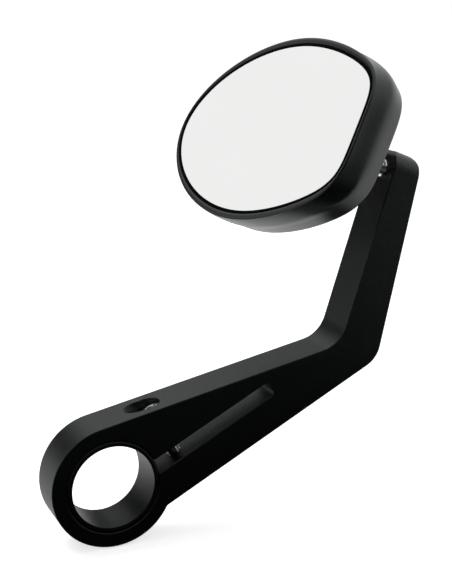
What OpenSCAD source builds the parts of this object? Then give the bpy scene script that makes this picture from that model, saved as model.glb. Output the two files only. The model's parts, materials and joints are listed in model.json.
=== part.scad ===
// Bar end mirror: a cranked arm clamped on the end of a handlebar, and a mirror head on a ball stud.
// The origin is the centre of the clamp's bore, at half the arm's thickness.
// +Y runs along the handlebar, away from the rider's side, +X towards the front, +Z up.

/* [Clamp] */
// Bore that grips the bar end
bore_d = 35; // [31:0.5:38]
// Wall of the bush that lines the clamp
sleeve_wall = 2.4; // [1.8:0.1:3]
// Wall of the clamp ring round the bush
ring_wall = 6.1; // [5:0.1:8]
// Thickness of the arm, along the handlebar
arm_t = 20; // [17:0.5:24]

/* [Arm] */
// Angle of the lower arm's top edge
top_angle = 12; // [8:0.5:16]
// Angle of the lower arm's under edge
under_angle = 27.7; // [25:0.1:30]
// Distance of the under edge's line from the bore's centre
under_reach = 21.3; // [20:0.1:23]
// Top edge from the clamp ring to the inside of the bend
lower_len = 111; // [98:1:130]
// Angle of the leg's inner edge
leg_angle = 72; // [66:0.5:78]
// Leg from the inside of the bend to its end
leg_len = 86; // [76:1:100]
// Width of the leg at its end
leg_end_w = 12.4; // [11.6:0.1:16]
// How much the leg widens towards the bend
leg_taper = 5.2; // [3:0.1:7]
// How much the leg's end is cut aslant
end_slant = 3.6; // [0:0.1:8]
// Radius inside the bend
bend_in_r = 14; // [8:1:20]
// Radius outside the bend
bend_out_r = 12; // [6:1:18]
// Radius of the leg end's inner corner
end_in_r = 3.2; // [2:0.1:4]
// Radius of the leg end's outer corner
end_out_r = 4.5; // [2:0.1:5]

/* [Clamp slot and screw] */
// Width of the slot that splits the clamp
slot_w = 6.4; // [4:0.1:8]
// Distance of the slot's middle below the bore's centre line
slot_drop = 3.5; // [2:0.1:5]
// End of the slot, from the bore's centre
slot_end = 78; // [60:1:90]
// Radius in the slot's end corners
slot_end_r = 1.8; // [0.5:0.1:2]
// Clamp screw from the bore's centre, along the slot
screw_at = 30; // [28:0.5:36]
// Thread diameter of the clamp screw
screw_d = 6; // [5:1:6]
// Length of the clamp screw under its head
screw_len = 25; // [22:1:25]
// Seat of the screw's head above the bore's centre line
seat_rise = 9.5; // [7:0.5:10]
// Gap round the screw's head in its pocket
pocket_gap = 0.25; // [0.15:0.05:0.6]
// Lean of the tool relief beside the pocket
relief_lean = 22; // [15:1:32]

/* [Ball stud] */
// Stud from the leg's end, along the leg
stud_from_end = 8.6; // [7.5:0.1:14]
// Diameter of the stud's neck
neck_d = 8; // [6.5:0.1:8.5]
// Ball centre from the leg's inner edge
stud_len = 17; // [16.5:0.5:22]
// Diameter of the ball
ball_d = 15; // [13:0.5:15.5]
// Depth of the stud's thread in the leg
stud_depth = 8.5; // [7:0.5:9]

/* [Mirror head] */
// Compass angle of the glass's normal, seen from above
head_yaw = -73; // [-85:1:-65]
// Rise of the glass's normal
head_rise = 33; // [25:1:38]
// Turn of the head about the glass's normal
head_roll = 4; // [-2:1:10]
// Length of the glass
glass_len = 104.2; // [98:0.2:112]
// Width of the glass
glass_w = 80.7; // [76:0.2:84]
// Widest place of the glass from its flat end
wide_at = 48.8; // [44:0.2:56]
// Pull of the flat end's curve
flat_run = 15.5; // [10:0.5:20]
// Middle of the blunt corner from the flat end
corner_back = 5.6; // [4:0.2:8]
// Middle of the blunt corner from the long side
corner_in = 14.2; // [12:0.2:17]
// Slope of the outline in the blunt corner
corner_slope = 44; // [38:1:50]
// Pull of the blunt corner's curve
corner_run = 8.2; // [6:0.2:9]
// Pull of the long side towards the corner
side_run = 18.4; // [14:0.2:22]
// Pull of the long side towards the tip
tip_side_run = 28.9; // [24:0.2:34]
// Pull of the tip's curve
tip_run = 20.4; // [16:0.2:25]
// Ball centre from the glass's flat end
ball_inset = 17.2; // [16:0.1:20]
// Ball centre below the glass's long axis
ball_drop = 2.9; // [0:0.1:5]
// Glass face above the ball's centre
glass_rise = 20; // [19:0.5:23]
// Thickness of the glass
glass_t = 2; // [1.8:0.1:3]
// Width of the black bead round the glass
seal_w = 0.9; // [0.6:0.1:1.4]
// Width of the housing's rim at its two ends
rim_w = 2; // [1.6:0.1:2.6]
// Width of the housing's rim along its long sides
rim_side_w = 3.2; // [2.6:0.1:3.4]
// How far the housing's ends bulge beyond the glass
flare = 4.7; // [4.3:0.1:5.6]
// How far the housing's long sides bulge beyond the glass
side_flare = 4.5; // [4.3:0.1:5.6]
// Widest level of the housing below the glass face
bulge_drop = 10; // [8:0.5:12]
// Back of the housing below the glass face
head_depth = 31; // [29:0.5:34]
// Shift of the housing's back towards its top long side
back_shift = 1.6; // [0:0.1:4]
// Shift of the housing's back towards its flat end
back_run = 1.9; // [0:0.1:3]
// Thickness of the adhesive pad
pad_t = 1; // [0.6:0.1:1.4]
// Thickness of the glass carrier
carrier_t = 2; // [1.6:0.1:2.4]
// Wall of the housing
shell_t = 2.6; // [2.2:0.1:3]
// Width of the ledge that the carrier sits on
ledge_w = 3.2; // [2:0.1:4]

/* [Ball seat] */
// Lean of the ball socket towards the housing's flat end
socket_lean = 15; // [10:1:18]
// Thickness of the moulded seats
seat_t = 1.9; // [1.5:0.1:2.2]
// Running gap between curved faces of the ball joint
joint_gap = 0.05; // [0.03:0.01:0.08]
// Thickness of the retainer plate
plate_t = 1.8; // [1.4:0.1:2.2]
// Distance of the retainer screws from the socket's axis
post_r = 14; // [13.5:0.1:14.5]
// Thread diameter of the retainer screws
post_screw_d = 3; // [2.5:0.5:3]

/* [Hidden] */
$fn = 96;

// Plane helpers: directions and crossings in the arm's outline
function unit(v) = v / norm(v);
function along(a) = [cos(a), sin(a)];
function across(a) = [-sin(a), cos(a)];
function cross2(u, v) = u.x * v.y - u.y * v.x;
function meet(p, a, q, b) = p + along(a) * cross2(q - p, along(b)) / cross2(along(a), along(b));
function arc(o, r, a0, a1, n) = [for (i = [0 : n]) o + r * along(a0 + (a1 - a0) * i / n)];
function turn(a) = a > 180 ? a - 360 : a < -180 ? a + 360 : a;
function heading(v) = atan2(v.y, v.x);

// A corner c between the points p and q, rounded to the radius r
arc_steps = 10;
function rounded(p, c, q, r) =
    let (u = unit(p - c), v = unit(q - c), half = acos(u * v) / 2)
    let (o = c + unit(u + v) * r / sin(half), reach = r / tan(half))
    let (a0 = heading(c + u * reach - o), a1 = heading(c + v * reach - o))
    arc(o, r, a0, a0 + turn(a1 - a0), arc_steps);

// The arm's outline, worked out from its edges
sleeve_r = bore_d / 2 + sleeve_wall;
ring_r = sleeve_r + ring_wall;
ring_top = ring_r * across(top_angle);
bend_in = ring_top + lower_len * along(top_angle);
leg_tip_in = bend_in + leg_len * along(leg_angle);
end_angle = leg_angle - 90 - end_slant;
leg_tip_out = leg_tip_in + leg_end_w * along(end_angle);
under_foot = -under_reach * across(under_angle);
bend_out = meet(under_foot, under_angle, leg_tip_out, leg_angle + leg_taper);
// The small fillet where the under edge meets the clamp ring
notch_r = 2;
notch_run = sqrt(pow(ring_r + notch_r, 2) - pow(under_reach + notch_r, 2));
notch_o = -(under_reach + notch_r) * across(under_angle) + notch_run * along(under_angle);
notch_start = under_foot + notch_run * along(under_angle);
notch_a0 = heading(notch_start - notch_o);
notch_a1 = heading(-notch_o);
// The clamp ring's outside, from that fillet round to the top edge
ring_a0 = heading(notch_o);
ring_a1 = top_angle - 270;
ring_steps = 96;

// The clamp screw, with the slot's line as its own level
head_d = screw_d * 10 / 6;
head_h = screw_d;
pocket_r = head_d / 2 + pocket_gap;
fit_gap = 0.02;
screw_clear = 0.2;
tip_room = 2;
jaw_top = slot_w / 2 - slot_drop;
relief_start = seat_rise + head_h * 0.25;
far = 60;

// The stud's foot on the leg's inner edge
stud_foot = leg_tip_in - stud_from_end * along(leg_angle);
ball_at = stud_foot + stud_len * across(leg_angle);
ball_r = ball_d / 2;
waist_r = neck_d / 2 - 0.3;
waist_len = 2.5;

// Ball seat radii, from the ball outwards
seat_in_r = ball_r + joint_gap;
seat_out_r = seat_in_r + seat_t;
socket_r = seat_out_r + joint_gap;
cap_angle = 56;
ring_from = 96;
ring_to = 128;
mouth_angle = 58;
boss_wall = 2.7;
boss_r = socket_r + boss_wall;
boss_top = 0.8;
boss_foot = 6;
plate_lift = 0.12;
plate_low = seat_out_r * cos(cap_angle) + plate_lift;
plate_r = post_r + 3.2;
dome_t = plate_t - 0.2;
post_wall_r = 3;
post_len = 9;
post_angles = [60, 180, 300];

// Head levels above the ball's centre
glass_low = glass_rise - glass_t;
pad_low = glass_low - pad_t;
carrier_low = pad_low - carrier_t;
rim_top = glass_rise + 0.6;
rim_round = 1.2;
bulge_level = glass_rise - bulge_drop;
head_gap = 0.15;

// A cubic curve from a to d with the pulls b and c, as [point, outward normal] pairs without its end
function bezier(a, b, c, d, n) = [
    for (i = [0 : n - 1])
        let (t = i / n, u = 1 - t)
        let (run = unit((b - a) * u * u + (c - b) * 2 * t * u + (d - c) * t * t))
        [a * u * u * u + b * 3 * t * u * u + c * 3 * t * t * u + d * t * t * t, [run.y, -run.x]]
];

// The glass's outline, about its long axis, with x = 0 over the ball: three curves a side
flat_end = [ball_inset, 0];
corner = [ball_inset - corner_back, glass_w / 2 - corner_in];
widest = [ball_inset - wide_at, glass_w / 2];
tip = [ball_inset - glass_len, 0];
corner_pull = corner_run * [-cos(corner_slope), sin(corner_slope)];
upper = concat(
    bezier(flat_end, flat_end + [0, flat_run], corner - corner_pull, corner, 6),
    bezier(corner, corner + corner_pull, widest + [side_run, 0], widest, 8),
    bezier(widest, widest - [tip_side_run, 0], tip + [0, tip_run], tip, 14),
    [[tip, [-1, 0]]]
);
lower = [for (i = [len(upper) - 2 : -1 : 1]) let (q = upper[i]) [[q[0].x, -q[0].y], [q[1].x, -q[1].y]]];
outline = concat(upper, lower);
mid = [ball_inset - glass_len / 2, ball_drop];
// The outline set out by d = [at the ends, at the long sides]
function grown(d) = [for (q = outline) q[0] + [d.x * q[1].x, d.y * q[1].y] + [0, ball_drop]];
// The outline set out by d, shrunk to the share k about its middle, at a level of the head
function section(d, k, level) =
    let (s = min(1, max(0, (rim_top - rim_round - level) / shift_run)))
    [for (p = grown(d)) concat(mid + (p - mid) * k + [back_run, back_shift] * s * s * (3 - 2 * s), level)];

// The housing's skins: a flank from the rim out to the bulge, then a dome of superellipse section
shift_run = 14;
dome_power = 0.85;
function flank(d0, d1, level0, steps) = [
    for (i = [1 : steps])
        section(d0 + (d1 - d0) * sin(90 * i / steps), 1, level0 + (bulge_level - level0) * i / steps)
];
function dome(d, depth, steps) = [
    for (i = [1 : steps])
        let (a = 84 * i / steps)
        section(d, cos(a), bulge_level - (depth - bulge_drop) * pow(sin(a), dome_power))
];
even = [1, 1];
rim_out = [rim_w, rim_side_w] + seal_w * even;
bulge = [flare, side_flare];
inside = bulge - shell_t * even;
skin = concat(
    [
        section(rim_out - 0.4 * even, 1, rim_top),
        section(rim_out - 0.05 * even, 1, rim_top - 0.3),
        section(rim_out, 1, rim_top - rim_round)
    ],
    flank(rim_out, bulge, rim_top - rim_round, 4),
    dome(bulge, head_depth, 10)
);
hollow = concat(
    [
        section(-ledge_w * even, 1, rim_top + 1),
        section(-ledge_w * even, 1, carrier_low),
        section(inside - 0.6 * even, 1, carrier_low - 3),
        section(inside, 1, bulge_level)
    ],
    dome(inside, head_depth - shell_t, 8)
);

// A closed skin through rings of points, capped at both ends
module lofted(rings) {
    n = len(rings[0]);
    m = len(rings);
    points = [for (ring = rings) for (p = ring) p];
    sides = [
        for (j = [0 : m - 2]) for (i = [0 : n - 1])
            let (a = j * n + i, b = j * n + (i + 1) % n)
            for (f = [[a, b, b + n], [a, b + n, a + n]]) f
    ];
    top = [for (i = [1 : n - 2]) [0, i + 1, i]];
    low = [for (i = [1 : n - 2]) [(m - 1) * n, (m - 1) * n + i, (m - 1) * n + i + 1]];
    polyhedron(points, concat(sides, top, low));
}

// Places: the slot's level at the screw, the leg's inner edge at the stud, the head and its socket
module on_slot() rotate([0, -under_angle, 0]) children();
module on_screw() on_slot() translate([screw_at, 0, 0]) children();
module on_stud() translate([stud_foot.x, 0, stud_foot.y]) rotate([0, -leg_angle, 0]) children();
module on_head() {
    translate([ball_at.x, 0, ball_at.y])
        rotate([90 - head_rise, 0, head_yaw]) rotate([0, 0, head_roll]) children();
}
module on_socket() on_head() rotate([0, -socket_lean, 0]) children();

module arm_outline() {
    polygon(concat(
        rounded(ring_top, bend_in, leg_tip_in, bend_in_r),
        rounded(bend_in, leg_tip_in, leg_tip_out, end_in_r),
        rounded(leg_tip_in, leg_tip_out, bend_out, end_out_r),
        rounded(leg_tip_out, bend_out, under_foot, bend_out_r),
        arc(notch_o, notch_r, notch_a0, notch_a0 + turn(notch_a1 - notch_a0), arc_steps),
        [for (i = [1 : ring_steps]) ring_r * along(ring_a0 + (ring_a1 - ring_a0) * i / ring_steps)]
    ));
}

module slot_outline() {
    low = -slot_drop - slot_w / 2;
    high = jaw_top;
    start = [sleeve_r * 0.8, low];
    corner_low = [slot_end, low];
    corner_high = [slot_end, high];
    polygon(concat(
        [start],
        rounded(start, corner_low, corner_high, slot_end_r),
        rounded(corner_low, corner_high, [start.x, high], slot_end_r),
        [[start.x, high]]
    ));
}

module arm() {
    color([0.08, 0.09, 0.09]) difference() {
        rotate([90, 0, 0]) linear_extrude(arm_t, center = true) arm_outline();
        rotate([90, 0, 0]) cylinder(h = arm_t + 2, r = sleeve_r, center = true);
        on_slot() rotate([90, 0, 0]) linear_extrude(arm_t + 2, center = true) slot_outline();
        on_screw() {
            translate([0, 0, seat_rise]) cylinder(h = far, r = pocket_r);
            translate([0, 0, relief_start]) rotate([0, -relief_lean, 0]) cylinder(h = far, r = pocket_r);
            translate([0, 0, jaw_top - 1]) cylinder(h = far, r = screw_d / 2 + screw_clear);
            translate([0, 0, seat_rise - screw_len - tip_room])
                cylinder(h = screw_len, r = screw_d / 2 + fit_gap);
        }
        on_stud() translate([0, 0, -stud_depth - 1]) cylinder(h = far, r = neck_d / 2 + fit_gap);
    }
}

module clamp_sleeve() {
    bevel = 0.4;
    outer = sleeve_r - fit_gap;
    inner = bore_d / 2;
    end = arm_t / 2;
    color([0.05, 0.05, 0.05]) rotate([90, 0, 0]) rotate_extrude($fn = 180) polygon([
        [inner, -end], [outer - bevel, -end], [outer, bevel - end],
        [outer, end - bevel], [outer - bevel, end], [inner, end]
    ]);
}

module clamp_screw() {
    socket_d = screw_d * 5 / 6;
    socket_deep = head_h / 2;
    bevel = 0.6;
    color([0.2, 0.2, 0.2]) on_screw() translate([0, 0, seat_rise]) difference() {
        rotate_extrude() polygon([
            [0, -screw_len], [screw_d / 2 - bevel, -screw_len], [screw_d / 2, bevel - screw_len],
            [screw_d / 2, 0], [head_d / 2, 0], [head_d / 2, head_h - bevel],
            [head_d / 2 - bevel, head_h], [0, head_h]
        ]);
        translate([0, 0, head_h - socket_deep])
            cylinder(h = far, d = socket_d / cos(30), $fn = 6);
    }
}

module ball_stud() {
    neck_r = neck_d / 2;
    bevel = 0.5;
    color([0.75, 0.75, 0.75]) on_stud() union() {
        rotate_extrude() polygon([
            [0, -stud_depth], [neck_r - bevel, -stud_depth], [neck_r, bevel - stud_depth],
            [neck_r, stud_len - ball_r - waist_len], [waist_r, stud_len - ball_r], [waist_r, stud_len - ball_r / 2],
            [0, stud_len - ball_r / 2]
        ]);
        translate([0, 0, stud_len]) sphere(ball_r);
    }
}

// A moulded seat between two spheres, from one angle off the socket's axis to another
module seat_shell(from_angle, to_angle) {
    steps = 12;
    step = (to_angle - from_angle) / steps;
    rotate_extrude() polygon(concat(
        [for (i = [0 : steps]) seat_in_r * [sin(from_angle + step * i), cos(from_angle + step * i)]],
        [for (i = [steps : -1 : 0]) seat_out_r * [sin(from_angle + step * i), cos(from_angle + step * i)]]
    ));
}

module seat_cap() {
    cut = seat_out_r * cos(cap_angle);
    color([0.85, 0.85, 0.8]) on_socket() difference() {
        sphere(seat_out_r);
        sphere(seat_in_r);
        translate([0, 0, cut - far]) cylinder(h = far, r = far);
    }
}

module seat_ring() {
    color([0.85, 0.85, 0.8]) on_socket() difference() {
        sphere(seat_out_r);
        sphere(seat_in_r);
        translate([0, 0, seat_out_r * cos(ring_from)]) cylinder(h = far, r = far);
        translate([0, 0, -far]) cylinder(h = far, r1 = far * tan(180 - ring_to), r2 = 0);
    }
}

module mirror_housing() {
    color([0.1, 0.11, 0.11]) difference() {
        union() {
            difference() {
                on_head() lofted(skin);
                on_head() lofted(hollow);
            }
            intersection() {
                on_head() lofted(skin);
                on_socket() union() {
                    translate([0, 0, -far]) cylinder(h = far + boss_top, r = boss_r);
                    translate([0, 0, -boss_foot - 2]) cylinder(h = boss_foot, r1 = boss_r + boss_foot, r2 = boss_r);
                    for (a = post_angles) rotate([0, 0, a]) translate([post_r, 0, plate_low - far])
                        cylinder(h = far, r = post_wall_r);
                }
            }
        }
        outline_plate(seal_w, carrier_low, rim_top + 2);
        on_socket() {
            sphere(socket_r);
            cylinder(h = boss_top + 1, r = socket_r);
            translate([0, 0, -far]) cylinder(h = far, r1 = far * tan(mouth_angle), r2 = 0);
            for (a = post_angles) rotate([0, 0, a]) translate([post_r, 0, plate_low - post_len])
                cylinder(h = far, r = post_screw_d / 2 + fit_gap);
        }
    }
}

// A flat plate of the glass's outline, grown by d, between two levels
module outline_plate(d, low, high) {
    on_head() translate([0, 0, low]) linear_extrude(high - low) polygon(grown([d, d]));
}

module mirror_glass() {
    color([0.92, 0.93, 0.93]) outline_plate(0, glass_low, glass_rise);
}

module glass_seal() {
    color([0.02, 0.02, 0.02]) difference() {
        outline_plate(seal_w - fit_gap, pad_low, glass_rise + 0.3);
        outline_plate(fit_gap, pad_low - 1, glass_rise + 1);
    }
}

module glass_pad() {
    color([0.15, 0.15, 0.15]) outline_plate(-1.5, pad_low, glass_low);
}

module glass_carrier() {
    color([0.12, 0.12, 0.12]) outline_plate(seal_w - head_gap, carrier_low, pad_low);
}

module retainer_plate() {
    color([0.7, 0.7, 0.68]) on_socket() difference() {
        union() {
            translate([0, 0, plate_low]) cylinder(h = plate_t, r = plate_r);
            intersection() {
                sphere(socket_r + dome_t);
                translate([0, 0, plate_low]) cylinder(h = far, r = far);
            }
        }
        sphere(socket_r);
        for (a = post_angles) rotate([0, 0, a]) translate([post_r, 0, plate_low - 1])
            cylinder(h = far, r = post_screw_d / 2 + fit_gap);
    }
}

module retainer_screw(angle) {
    thread_r = post_screw_d / 2;
    length = post_len - 1;
    cap_r = post_screw_d * 0.93;
    cap_h = post_screw_d * 0.6;
    color([0.6, 0.6, 0.6]) on_socket() rotate([0, 0, angle])
        translate([post_r, 0, plate_low + plate_t]) difference() {
            union() {
                translate([0, 0, -length]) cylinder(h = length, r = thread_r);
                cylinder(h = cap_h, r = cap_r);
            }
            translate([0, 0, cap_h / 2]) cylinder(h = cap_h, d = post_screw_d * 0.67 / cos(30), $fn = 6);
        }
}

arm();
clamp_sleeve();
clamp_screw();
ball_stud();
seat_cap();
seat_ring();
mirror_housing();
glass_seal();
mirror_glass();
glass_pad();
glass_carrier();
retainer_plate();
for (i = [0 : 2])
    retainer_screw(post_angles[i]);
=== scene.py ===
"""A mirror for the end of a motorcycle's handlebar: clamp, cranked arm, ball stud and mirror head."""

import json
import math

import bmesh
import bpy
import numpy as np
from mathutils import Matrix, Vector

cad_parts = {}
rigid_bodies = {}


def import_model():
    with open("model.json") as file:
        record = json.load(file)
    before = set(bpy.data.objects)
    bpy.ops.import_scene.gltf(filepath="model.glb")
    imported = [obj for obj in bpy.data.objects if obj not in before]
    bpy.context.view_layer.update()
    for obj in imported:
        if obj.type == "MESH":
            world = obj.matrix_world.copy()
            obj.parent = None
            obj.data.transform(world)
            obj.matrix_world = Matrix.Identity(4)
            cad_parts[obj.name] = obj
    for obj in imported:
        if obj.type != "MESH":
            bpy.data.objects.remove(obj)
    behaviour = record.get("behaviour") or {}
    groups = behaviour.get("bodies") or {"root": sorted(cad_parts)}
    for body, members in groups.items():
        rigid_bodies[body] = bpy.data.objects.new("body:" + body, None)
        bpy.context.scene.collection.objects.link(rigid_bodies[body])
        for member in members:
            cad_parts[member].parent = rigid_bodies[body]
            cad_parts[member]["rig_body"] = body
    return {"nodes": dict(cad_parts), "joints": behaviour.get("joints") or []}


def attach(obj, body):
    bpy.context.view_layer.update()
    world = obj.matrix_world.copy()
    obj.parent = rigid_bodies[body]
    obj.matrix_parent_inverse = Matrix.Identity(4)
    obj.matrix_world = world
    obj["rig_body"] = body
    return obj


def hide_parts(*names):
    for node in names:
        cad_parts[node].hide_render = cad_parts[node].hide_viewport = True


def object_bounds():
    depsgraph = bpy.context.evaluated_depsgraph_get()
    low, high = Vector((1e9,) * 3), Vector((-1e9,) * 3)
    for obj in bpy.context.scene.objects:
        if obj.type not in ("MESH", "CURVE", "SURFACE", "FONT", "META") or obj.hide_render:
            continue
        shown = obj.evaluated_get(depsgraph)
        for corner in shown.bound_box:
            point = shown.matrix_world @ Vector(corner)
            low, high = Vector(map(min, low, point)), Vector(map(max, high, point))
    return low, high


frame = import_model()
cad_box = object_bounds()

# The camera stands before the mirror, to its left and above it, upright, and looks a little down.
# Its lens is given by the focal length in pixels of a picture 584 pixels high.
picture_high, focal_pixels, film_high = 584, 1200, 36
camera_at, camera_look = (-0.1397, -0.4446, 0.1933), Vector((0.3877, 0.8904, -0.2384))
camera_data = bpy.data.cameras.new("camera")
camera_data.sensor_fit = "VERTICAL"
camera_data.sensor_height = film_high
camera_data.lens = film_high * focal_pixels / picture_high
camera = bpy.data.objects.new("camera", camera_data)
camera.location = camera_at
camera.rotation_euler = camera_look.to_track_quat("-Z", "Y").to_euler()
bpy.context.scene.collection.objects.link(camera)
bpy.context.scene.camera = camera
bpy.context.scene.view_settings.view_transform = "Standard"


class Signal:
    """A node's socket that takes part in arithmetic: an expression on it adds the Math nodes."""

    def __init__(self, tree, socket):
        self.tree = tree
        self.socket = socket

    def maths(self, operation, *values):
        """The result of one Math node on the values."""
        node = self.tree.nodes.new("ShaderNodeMath")
        node.operation = operation
        for place, value in zip(node.inputs, values):
            connect(place, value)
        return Signal(self.tree, node.outputs[0])

    def __add__(self, other):
        return self.maths("ADD", self, other)

    __radd__ = __add__

    def __rsub__(self, other):
        return self.maths("SUBTRACT", other, self)

    def __mul__(self, other):
        return self.maths("MULTIPLY", self, other)

    __rmul__ = __mul__

    def top(self, other):
        """The larger of the two."""
        return self.maths("MAXIMUM", self, other)


def connect(place, value):
    """Gives a socket its value: a link from another node, or a constant."""
    if isinstance(value, Signal):
        value.tree.links.new(value.socket, place)
    else:
        place.default_value = value


class Finish:
    """A surface finish: a shader with its values, and one method for any other node."""

    def __init__(self, tree, shader, **values):
        self.tree = tree
        self.shader = shader
        self.give(**values)

    def give(self, **values):
        """Sets inputs of the shader, each to a constant or to a signal that varies over the surface."""
        for name, value in values.items():
            connect(self.shader.inputs[name.replace("_", " ")], value)

    def node(self, kind, settings, out=0, **sockets):
        """The output of a new node of a kind, with its settings and the values of its sockets."""
        node = self.tree.nodes.new("ShaderNode" + kind)
        for name, value in settings.items():
            setattr(node, name, value)
        for name, value in sockets.items():
            connect(node.inputs[name.replace("_", " ")], value)
        return Signal(self.tree, node.outputs[out])


# The studio: an even white room with a pale floor, and one wide soft lamp overhead.
# To the eye the room is plain white, and so is the floor, which glows and still takes the shadow.
white = (1, 1, 1, 1)
room_level = 0.4
world = bpy.data.worlds.new("room")
bpy.context.scene.world = world
world.use_nodes = True
room = Finish(world.node_tree, world.node_tree.nodes["Background"], Color=white)
to_eye, in_gloss, through = (
    room.node("LightPath", {}, out=f"Is {ray} Ray") for ray in ("Camera", "Glossy", "Transmission")
)
room.give(Strength=room_level + to_eye.top(in_gloss).top(through) * (1 - room_level))


def board(name, corners, color, unseen=(), **values):
    """A flat card of the studio with its own plain paint, unseen by the named kinds of ray."""
    mesh = bpy.data.meshes.new(name)
    mesh.from_pydata(corners, [], [(0, 1, 2, 3)])
    card = bpy.data.objects.new(name, mesh)
    bpy.context.scene.collection.objects.link(card)
    for ray in unseen:
        setattr(card, "visible_" + ray, False)
    paint = bpy.data.materials.new(name + "_paint")
    paint.use_nodes = True
    mesh.materials.append(paint)
    tree = paint.node_tree
    return Finish(
        tree, tree.nodes["Principled BSDF"], Base_Color=(*color, 1), Emission_Color=white, **values
    )


floor_low = cad_box[0][2] - 0.0005
floor_reach = 12
floor_glow, floor_shine = 0.68, 0.42
floor_square = [
    (x * floor_reach, y * floor_reach, floor_low) for x, y in ((-1, -1), (1, -1), (1, 1), (-1, 1))
]
floor = board("floor", floor_square, (0.9, 0.9, 0.9), Roughness=0.9, Specular_IOR_Level=0.1)
floor.give(Emission_Strength=(
    floor.node("LightPath", {}, out="Is Camera Ray") * floor_glow
    + floor.node("LightPath", {}, out="Is Glossy Ray") * floor_shine
))

# Dark cards, seen only in the glossy faces: on the floor before, beside and behind the mirror, and
# upright before it and far behind it. The mirror glass, which is sharp, doesn't see them.
# [corners, the direction its glow rises in, where it starts and ends in metres, and its levels there]
card_low = floor_low + 0.0002
dark_cards = {
    "front_floor": [
        [(-1.2, -1.1, card_low), (1.3, -1.1, card_low), (0.2, -0.0105, card_low), (-0.6, -0.0105, card_low)],
        (0, -1, 0), (0.2, 0.6), (0.0, 0.27)
    ],
    "front_wall": [
        [(-1.6, -1.1, card_low), (1.5, -1.1, card_low), (1.5, -1.1, 1.1), (-1.6, -1.1, 1.1)],
        (1, 0, 0), (0.75, 1.3), (0.0, 0.33)
    ],
    "back_wall": [
        [(-0.9, 1.2, -0.02), (0.9, 1.2, -0.02), (0.9, 1.2, 0.4), (-0.9, 1.2, 0.4)],
        (0, 0, 1), (0.12, 0.3), (0.25, 0.0)
    ],
    "back_left": [
        [(-1.3, 1.2, 0.4), (-0.3, 1.2, 0.4), (-0.3, 1.2, 1.1), (-1.3, 1.2, 1.1)],
        (0, 0, 1), (0.8, 1.1), (0.0, 0.3)
    ],
    "left_floor": [
        [(-0.7, 0.015, card_low), (-0.02, 0.015, card_low), (-0.02, 0.32, card_low), (-0.7, 0.32, card_low)],
        (1, 0, 0), (-0.7, 0), (0.65, 0.65)
    ],
    "back_top": [
        [(-0.3, 1.2, 0.4), (0.9, 1.2, 0.4), (0.9, 1.2, 0.9), (-0.3, 1.2, 0.9)],
        (1, 0, 0), (0.28, 0.5), (0.85, 0.3)
    ],
    "back_floor": [
        [(-0.9, 0.32, card_low), (0.9, 0.32, card_low), (0.9, 1.2, card_low), (-0.9, 1.2, card_low)],
        (0, 1, 0), (0.32, 0.6), (0.6, 0.15)
    ]
}
only_gloss = ("camera", "diffuse", "shadow", "transmission")
for name, (corners, way, (start, end), (low, high)) in dark_cards.items():
    dark = board(name, corners, (0, 0, 0), only_gloss, Roughness=1, Specular_IOR_Level=0)
    place = dark.node("TexCoord", {}, out="Object")
    along = dark.node("VectorMath", {"operation": "DOT_PRODUCT"}, out="Value", Vector=place)
    along.socket.node.inputs[1].default_value = way
    glow = dark.node("MapRange", {}, Value=along, From_Min=start, From_Max=end, To_Min=low, To_Max=high)
    dark.give(Emission_Strength=glow, Alpha=1 - dark.node("LightPath", {}, out="Is Singular Ray"))

lamp_at, lamp_aim = Vector((-0.25, 0.35, 1.0)), Vector((0.05, 0, 0.05))
lamp_data = bpy.data.lights.new("soft_lamp", "AREA")
lamp_data.shape = "RECTANGLE"
lamp_data.size = 0.9
lamp_data.size_y = 0.7
lamp_data.energy = 7
lamp = bpy.data.objects.new("soft_lamp", lamp_data)
lamp.location = lamp_at
lamp.rotation_euler = (lamp_aim - lamp_at).to_track_quat("-Z", "Y").to_euler()
lamp.visible_glossy = False
bpy.context.scene.collection.objects.link(lamp)


# The arm: one plate of machined aluminium, 20 mm thick, cranked once, with a ring that clamps the bar.
# It is bead blasted and anodised black; its edges are broken by hand and its leg's end is rounded.
mm = 0.001
edge_round = 0.00045
row_weld, cad_weld = 1e-7, 1e-6


def laid(name, rows, axes, origin, loop=False, sharp=32):
    """A piece from rows of points in millimetres in a frame of its own: each row is closed in itself.

    A row that has shrunk to one point closes that end; loop joins the last row to the first.
    """
    rows = np.asarray(rows, float)
    deep, wide = rows.shape[:2]
    points = rows.reshape(-1, 3) * mm @ np.asarray(axes, float) + np.asarray(origin, float)
    faces = []
    for j in range(deep if loop else deep - 1):
        here, there = j * wide, (j + 1) % deep * wide
        faces += [(here + i, here + (i + 1) % wide, there + (i + 1) % wide, there + i) for i in range(wide)]
    mesh = bpy.data.meshes.new(name)
    mesh.from_pydata(points.tolist(), [], faces)
    shape = bmesh.new()
    shape.from_mesh(mesh)
    bmesh.ops.remove_doubles(shape, verts=shape.verts, dist=row_weld)
    bmesh.ops.recalc_face_normals(shape, faces=shape.faces)
    shape.to_mesh(mesh)
    shape.free()
    mesh.shade_smooth()
    mesh.set_sharp_from_angle(angle=math.radians(sharp))
    piece = bpy.data.objects.new(name, mesh)
    bpy.context.scene.collection.objects.link(piece)
    return piece


def cut(piece, operation, *tools):
    """Joins, cuts or crops the piece by closed tools, which are used up."""
    for tool in tools:
        boolean = piece.modifiers.new(operation, "BOOLEAN")
        boolean.operation = operation
        boolean.solver = "EXACT"
        boolean.object = tool
        bpy.context.view_layer.update()
        graph = bpy.context.evaluated_depsgraph_get()
        mesh = bpy.data.meshes.new_from_object(piece.evaluated_get(graph))
        piece.modifiers.clear()
        piece.data = mesh
        bpy.data.objects.remove(tool)


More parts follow.
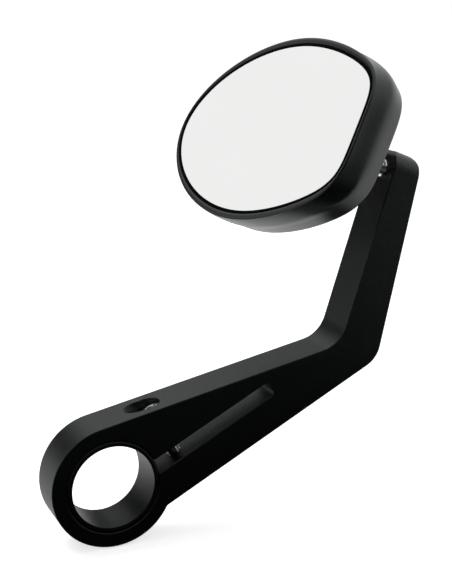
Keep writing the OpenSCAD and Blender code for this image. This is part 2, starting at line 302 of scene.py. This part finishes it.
def welded(node, name):
    """A new object of a CAD node's shape, with its loose triangles welded and its flats made whole."""
    shape = bmesh.new()
    shape.from_mesh(frame["nodes"][node].data)
    bmesh.ops.remove_doubles(shape, verts=shape.verts, dist=cad_weld)
    bmesh.ops.dissolve_limit(shape, angle_limit=math.radians(0.3), verts=shape.verts, edges=shape.edges)
    mesh = bpy.data.meshes.new(name)
    shape.to_mesh(mesh)
    shape.free()
    piece = bpy.data.objects.new(name, mesh)
    bpy.context.scene.collection.objects.link(piece)
    return piece


def soften_edges(piece, width):
    """Rounds a piece's edges of more than 30 degrees to a width in metres and keeps its flats flat."""
    piece.data.shade_smooth()
    bevel = piece.modifiers.new("round", "BEVEL")
    bevel.width = width
    bevel.segments = 3
    bevel.limit_method = "ANGLE"
    bevel.angle_limit = math.radians(30)
    bevel.use_clamp_overlap = False
    flat = piece.modifiers.new("flat", "WEIGHTED_NORMAL")
    flat.keep_sharp = True


def stands_for(piece, node, finish):
    """The piece takes a CAD node's place, with its body, and gets its finish."""
    piece.data.materials.clear()
    piece.data.materials.append(finish.material)
    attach(piece, frame["nodes"][node]["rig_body"])
    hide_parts(node)


def new_finish(name, color, **values):
    """A material with a Principled shader, and its Object coordinates as .place."""
    material = bpy.data.materials.new(name)
    material.use_nodes = True
    tree = material.node_tree
    finish = Finish(tree, tree.nodes["Principled BSDF"], Base_Color=(*color, 1), **values)
    finish.material = material
    finish.place = finish.node("TexCoord", {}, out="Object")
    return finish


def speckle(finish, scale, detail=2.0, rough=0.5):
    """Even noise over the surface, scale features to the metre, from 0 to 1."""
    return finish.node("TexNoise", {}, Vector=finish.place, Scale=scale, Detail=detail, Roughness=rough)


def blend_colors(finish, share, low, high):
    """A colour between low and high by the share: low (1 - share) + high share."""
    return finish.node("Mix", {"data_type": "RGBA"}, out=2, Factor=share, A=(*low, 1), B=(*high, 1))


def grain(finish, height, depth, strength):
    """Presses a height from 0 to 1 into the surface, to a depth in metres."""
    finish.give(Normal=finish.node("Bump", {}, Height=height, Strength=strength, Distance=depth))


def leaned(angle):
    """Three axes turned about the second by an angle: the first rises by it, the third leans back by it."""
    return np.array([
        (math.cos(angle), 0, math.sin(angle)), (0, 1, 0), (-math.sin(angle), 0, math.cos(angle))
    ])


cool = (0.86, 1, 0.96, 1)
anodised = new_finish("anodised_black", (0.0016, 0.0018, 0.0018), Specular_IOR_Level=0.42, Specular_Tint=cool)
blast = speckle(anodised, 1500, 3, 0.7)
anodised.give(Roughness=0.24 + 0.14 * blast)
grain(anodised, blast, 0.0002, 0.7)

# The leg's end is rounded by a block that crops the plate. Its section is an arch over the plate's
# thickness, with a wide round in front and a small one behind, and it runs across the leg.
leg_tip, leg_slope = (129.74, 130.3), math.radians(-21.6)
front_r, back_r, half_over, top_over = 8, 3, 10.02, 0.01
arch_low, arch_run = -240, (-150, 60)
arch = [
    (-half_over, arch_low),
    *(
        (front_r * (1 - math.cos(a)) - half_over, top_over - front_r * (1 - math.sin(a)))
        for a in np.linspace(0, np.pi / 2, 13)
    ),
    *(
        (half_over - back_r * (1 - math.cos(a)), top_over - back_r * (1 - math.sin(a)))
        for a in np.linspace(np.pi / 2, 0, 7)
    ),
    (half_over, arch_low)
]
arch_sides = [[(along, across, up) for across, up in arch] for along in arch_run]
arch_ends = [[np.mean(side, 0)] * len(arch) for side in arch_sides]
end_block = laid(
    "end_block", [arch_ends[0], *arch_sides, arch_ends[1]], leaned(leg_slope),
    (leg_tip[0] * mm, 0, leg_tip[1] * mm)
)

arm = welded("arm", "arm_plate")
cut(arm, "INTERSECT", end_block)
soften_edges(arm, edge_round)
stands_for(arm, "arm", anodised)


# The bush that lines the clamp: a turned ring of hard black plastic, its ends chamfered.
# It is slipped in from the end and held by the clamp's grip.
bore_r, sleeve_r, arm_half, sleeve_chamfer = 17.5, 19.88, 10, 0.9
bar_axes = ((1, 0, 0), (0, 0, 1), (0, 1, 0))


def eased(corners, reach, loop=False, steps=5):
    """A polygon's points with each corner rounded by a parabola that starts the reach away from it.

    Its points are start (1 - t)^2 + corner 2 t (1 - t) + end t^2, for t from 0 to 1.
    """
    corners = np.asarray(corners, float)
    count, most = len(corners), 0.45
    line = []
    for i, corner in enumerate(corners):
        if not loop and i in (0, count - 1):
            line.append(corner)
            continue
        sides = [corners[i - 1] - corner, corners[(i + 1) % count] - corner]
        start, end = (corner + side * min(reach / np.hypot(*side), most) for side in sides)
        for t in np.linspace(0, 1, steps):
            line.append(start * (1 - t) ** 2 + corner * 2 * t * (1 - t) + end * t ** 2)
    return np.array(line)


def turned(name, profile, axes, origin, count=144, loop=False, sharp=32):
    """A turned piece: the profile of [radius, height] goes once round the third axis."""
    angle = np.linspace(0, 2 * np.pi, count, endpoint=False)
    profile = np.asarray(profile, float)
    rows = np.stack([
        profile[:, :1] * np.cos(angle), profile[:, :1] * np.sin(angle), np.repeat(profile[:, 1:], count, 1)
    ], 2)
    return laid(name, rows, axes, origin, loop, sharp)


sleeve_corners = [
    (bore_r, -arm_half), (sleeve_r - sleeve_chamfer, -arm_half), (sleeve_r, sleeve_chamfer - arm_half),
    (sleeve_r, arm_half - sleeve_chamfer), (sleeve_r - sleeve_chamfer, arm_half), (bore_r, arm_half)
]
sleeve = turned(
    "bush", eased(sleeve_corners, 0.25, loop=True), bar_axes, (0, 0, 0), 192, loop=True, sharp=60
)
bush_black = new_finish("bush_black", (0.002, 0.002, 0.002), Specular_IOR_Level=0.2, Specular_Tint=cool)
bush_grain = speckle(bush_black, 1900, 3)
bush_black.give(Roughness=0.32 + 0.16 * bush_grain)
grain(bush_black, bush_grain, 0.00004, 0.4)
stands_for(sleeve, "clamp_sleeve", bush_black)


# The clamp screw: a socket head cap screw, M6 by 25, of zinc plated steel, with a rolled thread.
# It drops into the pocket on the arm's top edge, crosses the slot and pulls its lower jaw up.
screw_r, screw_head_r, screw_head_h, screw_len = 3, 5, 6, 25
socket_w, socket_deep, drill_share, drill_deep = 5, 3, 0.55, 0.5
knurls, knurl_deep, lip, fillet = 48, 0.06, 0.5, 0.1
pitch, thread_deep, crest, flank_w, rows_per_turn = 1.0, 0.55, 0.15, 0.65, 10
thread_from, point_len, point_r, tip_r = 0.4, 0.6, 2.4, 2.1
slot_axes = leaned(math.radians(27.7))
screw_at, screw_seat = 30, 9.5
screw_foot = (screw_at * slot_axes[0] + screw_seat * slot_axes[2]) * mm
turn = np.linspace(0, 2 * np.pi, 144, endpoint=False)


def hexagon(flats):
    """Distance from a hexagon's middle to its side round the turn, by its width over the flats.

    It is half the width over the cosine of the angle from the middle of the nearest flat.
    """
    sixth = np.pi / 3
    return flats / 2 / np.cos((turn + sixth / 2) % sixth - sixth / 2)


def thread(height, deep):
    """Radius of the screw's thread round the turn: flat crests and roots, straight flanks between them."""
    phase = (height / pitch - turn / (2 * np.pi)) % 1
    return screw_r - deep * np.clip((np.abs(phase - 0.5) * 2 - crest) / flank_w, 0, 1)


def screw_row(radius, height):
    """Points once round the screw at a radius, or at one for each angle, and at a height."""
    return np.stack([radius * np.cos(turn), radius * np.sin(turn), np.full(len(turn), height)], 1)


socket, socket_low = hexagon(socket_w), screw_head_h - socket_deep
knurl = screw_head_r - knurl_deep * (1 + np.cos(knurls * turn))
screw_rows = [screw_row(radius, height) for radius, height in (
    (0, socket_low - drill_deep), (drill_share * socket, socket_low), (socket, socket_low),
    (socket, screw_head_h - 0.12 * lip), (socket + 0.3 * lip, screw_head_h),
    (screw_head_r - lip, screw_head_h), (screw_head_r - 0.45 * lip, screw_head_h - 0.12 * lip),
    (knurl - 0.12 * lip, screw_head_h - 0.45 * lip), (knurl, screw_head_h - lip), (knurl, lip),
    (knurl - 0.5 * lip, 0.4 * lip), (screw_head_r - lip, 0), (screw_r + fillet, 0), (screw_r, -fillet)
)]
for height in np.arange(-fillet, -screw_len, -pitch / rows_per_turn):
    run_in = np.clip((-height - thread_from) / pitch, 0, 1)
    taper = np.clip((screw_len + height) / point_len, 0, 1)
    radius = np.minimum(thread(height, thread_deep * run_in), point_r + (screw_r - point_r) * taper)
    screw_rows.append(screw_row(radius, height))
screw_rows += [screw_row(tip_r, -screw_len), screw_row(0, -screw_len)]
clamp_screw = laid("clamp_screw_m6", screw_rows, slot_axes, screw_foot, sharp=38)
plated = new_finish("plated_steel", (0.7, 0.7, 0.7), Metallic=1.0)
plated_cloud = speckle(plated, 420, 4)
plated.give(
    Base_Color=blend_colors(plated, plated_cloud, (0.6, 0.6, 0.61), (0.85, 0.85, 0.85)),
    Roughness=0.12 + 0.12 * plated_cloud
)
stands_for(clamp_screw, "clamp_screw", plated)


# The ball stud: one turned and polished piece of stainless steel, screwed into the leg's inner edge.
# It has a small collar at the leg and a slight waist before the ball, so that the head can swing.
joints = {joint["name"]: joint for joint in frame["joints"]}
ball_at = np.array(joints["head_turn"]["pos_m"])
stud_axis = np.array(joints["head_swing"]["axis"])
stud_len, stud_deep, ball_r = 17, 8.5, 7.5
foot_r, collar_low, collar_top = 4, 0.6, 1.6
neck_r, waist_r, waist_len = 3.2, 3, 2.5


def square_to(axis, near):
    """Three axes at right angles: the third along axis, the first what of near is square to it."""
    axis = np.asarray(axis, float) / np.linalg.norm(axis)
    side = np.asarray(near, float) - axis * np.dot(near, axis)
    side /= np.linalg.norm(side)
    return np.array([side, np.cross(axis, side), axis])


ball_from = math.asin(waist_r / ball_r)
ball_arc = [(ball_r * math.sin(a), -ball_r * math.cos(a)) for a in np.linspace(ball_from, math.pi, 44)]
stud_neck = eased([
    (0, -stud_len - stud_deep), (foot_r, -stud_len - stud_deep), (foot_r, collar_low - stud_len),
    (neck_r, collar_top - stud_len), (neck_r, -ball_r - waist_len), (waist_r, -ball_r),
    (waist_r, ball_arc[0][1])
], 0.4)
stud = turned(
    "stud", np.vstack([stud_neck, ball_arc[1:]]), square_to(stud_axis, (0, 1, 0)), ball_at, 96, sharp=50
)
polished = new_finish("polished_steel", (0.92, 0.92, 0.91), Metallic=1.0)
turning = polished.node(
    "TexWave", {"wave_type": "RINGS", "rings_direction": "SPHERICAL"}, Vector=polished.place, Scale=900.0
)
polished.give(Roughness=0.3 + 0.08 * turning)
stands_for(stud, "ball_stud", polished)


# The mirror head's housing: one cast shell, egg shaped with a blunt end, painted satin black.
# A narrow rim stands round the glass; behind it the flank leans out to a soft ridge, a facet leans
# back in, and the back is domed. Inside stand its boss, with the mouth for the stud, and three posts.
head_axes = np.array([joints["head_nod"]["axis"], joints["head_turn"]["axis"]])
head_axes = np.vstack([head_axes, np.cross(head_axes[0], head_axes[1])])
glass_len, glass_w, wide_at = 104.2, 80.7, 48.8
flat_run, corner_back, corner_in, corner_slope, corner_run = 15.5, 5.6, 14.2, math.radians(44), 8.2
side_run, tip_side_run, tip_run = 18.4, 28.9, 20.4
ball_inset, ball_drop, glass_rise = 17.2, 2.9, 20
seal_w, rim_w, rim_side_w = 1.25, 1.2, 2.85
flare, side_flare, ridge_drop, ridge_soft = 4.0, 4.5, 9.2, 1.4
facet_deep, facet_lean, head_depth = 10.2, math.tan(math.radians(14.5)), 31
back_run, back_shift, shift_run = 0.9, 1.6, 14
shell_t, ledge_w, ledge_t, pocket_low, pocket_deep, pocket_taper = 2.6, 3.2, 0.3, 15, 3, 0.6
rim_top, rim_wall = glass_rise + 0.6, 0.6
ridge_level = glass_rise - ridge_drop
around = 240


def cubic(a, b, c, d, count):
    """Points a (1 - t)^3 + b 3 t (1 - t)^2 + c 3 t^2 (1 - t) + d t^3 of a curve, without its last."""
    t = np.linspace(0, 1, count, endpoint=False)[:, None]
    a, b, c, d = (np.asarray(p, float) for p in (a, b, c, d))
    return a * (1 - t) ** 3 + b * 3 * t * (1 - t) ** 2 + c * 3 * t * t * (1 - t) + d * t ** 3


def evenly(line, count):
    """The closed line's points again, the same distance apart along it."""
    closed = np.vstack([line, line[:1]])
    way = np.concatenate([[0], np.cumsum(np.hypot(*np.diff(closed, axis=0).T))])
    at = np.linspace(0, way[-1], count, endpoint=False)
    return np.column_stack([np.interp(at, way, closed[:, k]) for k in (0, 1)])


flat_end, tip = np.array((ball_inset, 0)), np.array((ball_inset - glass_len, 0))
corner = np.array((ball_inset - corner_back, glass_w / 2 - corner_in))
widest = np.array((ball_inset - wide_at, glass_w / 2))
corner_pull = corner_run * np.array((-math.cos(corner_slope), math.sin(corner_slope)))
upper_side = np.vstack([
    cubic(flat_end, flat_end + (0, flat_run), corner - corner_pull, corner, 200),
    cubic(corner, corner + corner_pull, widest + (side_run, 0), widest, 200),
    cubic(widest, widest - (tip_side_run, 0), tip + (0, tip_run), tip, 300), [tip]
])
outline = evenly(np.vstack([upper_side, upper_side[-2:0:-1] * (1, -1)]), around)
outline_run = np.roll(outline, -1, 0) - np.roll(outline, 1, 0)
outward = np.column_stack([outline_run[:, 1], -outline_run[:, 0]]) / np.hypot(*outline_run.T)[:, None]
outline = outline + (0, ball_drop)
head_mid = np.array((ball_inset - glass_len / 2, ball_drop))
even = np.ones(2)


def ease(s):
    """A smooth step from 0 to 1: s^2 (3 - 2 s)."""
    s = np.clip(s, 0, 1)
    return s * s * (3 - 2 * s)


def ring(grow, share, level):
    """The glass's outline set out by grow = (at the ends, at the sides), shrunk to the share, at a level.

    Its middle shifts with the depth below the rim, by an eased step over the shift's run.
    """
    line = outline + np.asarray(grow) * outward
    shift = np.array((back_run, back_shift)) * ease((rim_top - rim_wall - level) / shift_run)
    return np.column_stack([head_mid + (line - head_mid) * share + shift, np.full(around, level)])


def soft(u):
    """Nought below 0 and u above it, with a rounded bend between: (u + sqrt(u^2 + soft^2)) / 2."""
    return (u + math.hypot(u, ridge_soft)) / 2


def skin(rim, ridge, top, depth, steps):
    """Rows of a skin of the housing, grown by rim and by ridge there, from a top level to its depth.

    It leans out to the ridge, leans in over the facet behind it, and ends in an ellipse that starts
    with the facet's lean: share = side cos(a) / cos(first) and
    level = end - deep (sin(a) - sin(first)) / (1 - sin(first)).
    """
    rise = rim_top - rim_wall - ridge_level
    half = glass_len / 2 + ridge[0]
    rows = []
    for u in np.linspace(ridge_level - top, facet_deep, steps):
        grow = ridge - (ridge - rim) * soft(-u) / rise
        rows.append(ring(grow, 1 - soft(u) * facet_lean / half, ridge_level - u))
    side = 1 - soft(facet_deep) * facet_lean / half
    end = ridge_level - facet_deep
    deep = end - (glass_rise - depth)
    first = math.atan(facet_lean * deep / (half * side))
    for a in np.linspace(first, np.pi / 2, steps)[1:]:
        level = end - deep * (math.sin(a) - math.sin(first)) / (1 - math.sin(first))
        rows.append(ring(ridge, side * math.cos(a) / math.cos(first), level))
    return rows


seal_grow = seal_w * even
rim_grow = seal_grow + (rim_w, rim_side_w)
ridge_grow = np.array((flare, side_flare))
inner_grow = ridge_grow - shell_t
rim_profile = eased([
    (0, pocket_low), (0, rim_top - 0.45), (0.42, rim_top), (0.75, rim_top - 0.1), (1, rim_top - rim_wall)
], 0.25, steps=6)
rim_rows = [ring(seal_grow + (rim_grow - seal_grow) * t, 1, level) for t, level in rim_profile]
outer_rows = rim_rows + skin(rim_grow, ridge_grow, rim_top - rim_wall, head_depth, 48)[1:]
inner_rows = [
    ring(-ledge_w * even, 1, pocket_low), ring(-ledge_w * even, 1, pocket_low - ledge_t),
    ring(inner_grow - pocket_taper, 1, pocket_low - pocket_deep)
] + skin(inner_grow - pocket_taper, inner_grow, ridge_level, head_depth - shell_t, 30)
housing = laid("housing", inner_rows[::-1] + outer_rows, head_axes, ball_at)

socket_lean = math.radians(15)
socket_axes = np.array([
    head_axes[0] * math.cos(socket_lean) + head_axes[2] * math.sin(socket_lean), head_axes[1],
    head_axes[2] * math.cos(socket_lean) - head_axes[0] * math.sin(socket_lean)
])
socket_r, boss_r, boss_low, boss_top, boss_foot = 9.5, 12.2, -40, 0.8, 6
mouth_angle, mouth_low, mouth_top = math.radians(58), -60, boss_top + 1
post_ring_r, post_r, post_low, post_top = 14, 3, -35, 5.4
hole_r, hole_low, hole_top = 1.5, post_top - 9, 9
post_places = [
    ball_at + mm * post_ring_r * (math.cos(a) * socket_axes[0] + math.sin(a) * socket_axes[1])
    for a in np.radians((60, 180, 300))
]


def three_rods(name, radius, low, top):
    """Round rods from a low level to a top one, at the places of the three posts."""
    profile = [(0, low), (radius, low), (radius, top), (0, top)]
    return [turned(name, profile, socket_axes, place, 36) for place in post_places]


cap_point = ring(0 * even, 0, rim_top)
skin_plug = laid("skin_plug", [cap_point] + outer_rows[len(rim_profile) // 2:], head_axes, ball_at)
boss = turned("boss", [
    (0, boss_low), (boss_r + boss_foot, boss_low), (boss_r + boss_foot, -boss_foot - 2), (boss_r, -2),
    (boss_r, boss_top), (0, boss_top)
], socket_axes, ball_at, 120)
cut(boss, "UNION", *three_rods("post", post_r, post_low, post_top))
cut(boss, "INTERSECT", skin_plug)
cut(housing, "UNION", boss)
ball_cup = [
    (socket_r * math.sin(a), socket_r * math.cos(a)) for a in np.linspace(np.pi / 2, np.pi - mouth_angle, 20)
]
mouth = turned("mouth", [
    (0, mouth_top), (socket_r, mouth_top), *ball_cup, (-mouth_low * math.tan(mouth_angle), mouth_low),
    (0, mouth_low)
], socket_axes, ball_at, 144)
cut(housing, "DIFFERENCE", mouth, *three_rods("hole", hole_r, hole_low, hole_top))
housing.data.shade_smooth()
housing.data.set_sharp_from_angle(angle=math.radians(32))

satin = new_finish("satin_black", (0.0024, 0.0027, 0.0026), Specular_IOR_Level=0.48, Specular_Tint=cool)
satin.give(Roughness=0.27 + 0.08 * speckle(satin, 140, 3))
grain(satin, speckle(satin, 1200, 2), 0.00006, 0.6)
stands_for(housing, "mirror_housing", satin)


# The bead round the glass: a soft black rubber strip pressed between the glass's edge and the rim.
# Its top is rounded and stands a little above the glass.
bead_gap, bead_low, bead_top = 0.02, glass_rise - 3, glass_rise + 0.3
bead_profile = eased([
    (bead_gap, bead_low), (seal_w - bead_gap, bead_low), (seal_w - bead_gap, bead_top), (bead_gap, bead_top)
], 0.35, loop=True)
bead = laid(
    "bead", [ring(d * even, 1, level) for d, level in bead_profile], head_axes, ball_at, loop=True, sharp=60
)
rubber = new_finish("bead_rubber", (0.0008, 0.0008, 0.0008), Specular_IOR_Level=0.05)
rubber.give(Roughness=0.7 + 0.2 * speckle(rubber, 700, 2))
stands_for(bead, "glass_seal", rubber)


# The mirror glass: a silvered pane, slightly domed, with a fine ground edge.
# It is stuck by its pad on the carrier behind it.
glass_t, glass_swell, ground_edge = 2, 0.4, 0.18
pane_shares = np.linspace(1, 0, 25)[1:]
pane_rows = [ring(0 * even, 0, glass_rise - glass_t), ring(0 * even, 1, glass_rise - glass_t)]
pane_rows += [ring(0 * even, 1, glass_rise - ground_edge), ring(-ground_edge * even, 1, glass_rise)]
pane_rows += [ring(-ground_edge * even, k, glass_rise + glass_swell * (1 - k * k)) for k in pane_shares]
pane = laid("pane", pane_rows, head_axes, ball_at, sharp=25)
silvered = new_finish("silvered_glass", (0.855, 0.855, 0.85), Metallic=1.0, Roughness=0)
silvered.give(
    Base_Color=blend_colors(silvered, speckle(silvered, 30, 2), (0.845, 0.845, 0.84), (0.865, 0.865, 0.86))
)
stands_for(pane, "mirror_glass", silvered)


# Inside the head: the two moulded ball seats, the pressed plate and screws that hold them,
# and behind the glass its foam pad and moulded carrier. These keep their CAD shapes.
nylon = new_finish("white_nylon", (0.62, 0.6, 0.55), Roughness=0.4)
grain(nylon, speckle(nylon, 1200, 2), 0.00003, 0.3)
pressed = new_finish("zinc_plate", (0.55, 0.55, 0.52), Metallic=1.0)
pressed.give(Roughness=0.3 + 0.2 * speckle(pressed, 300, 3))
foam = new_finish("pad_foam", (0.03, 0.03, 0.03), Roughness=0.95)
grain(foam, speckle(foam, 2500, 2), 0.0002, 0.8)
moulded = new_finish("carrier_plastic", (0.015, 0.015, 0.015), Roughness=0.5)
grain(moulded, speckle(moulded, 1500, 2), 0.00004, 0.4)
for node, finish in {
    "seat_cap": nylon, "seat_ring": nylon, "retainer_plate": pressed, "retainer_screw_1": pressed,
    "retainer_screw_2": pressed, "retainer_screw_3": pressed, "glass_pad": foam, "glass_carrier": moulded
}.items():
    for place in frame["nodes"][node].material_slots:
        place.material = finish.material
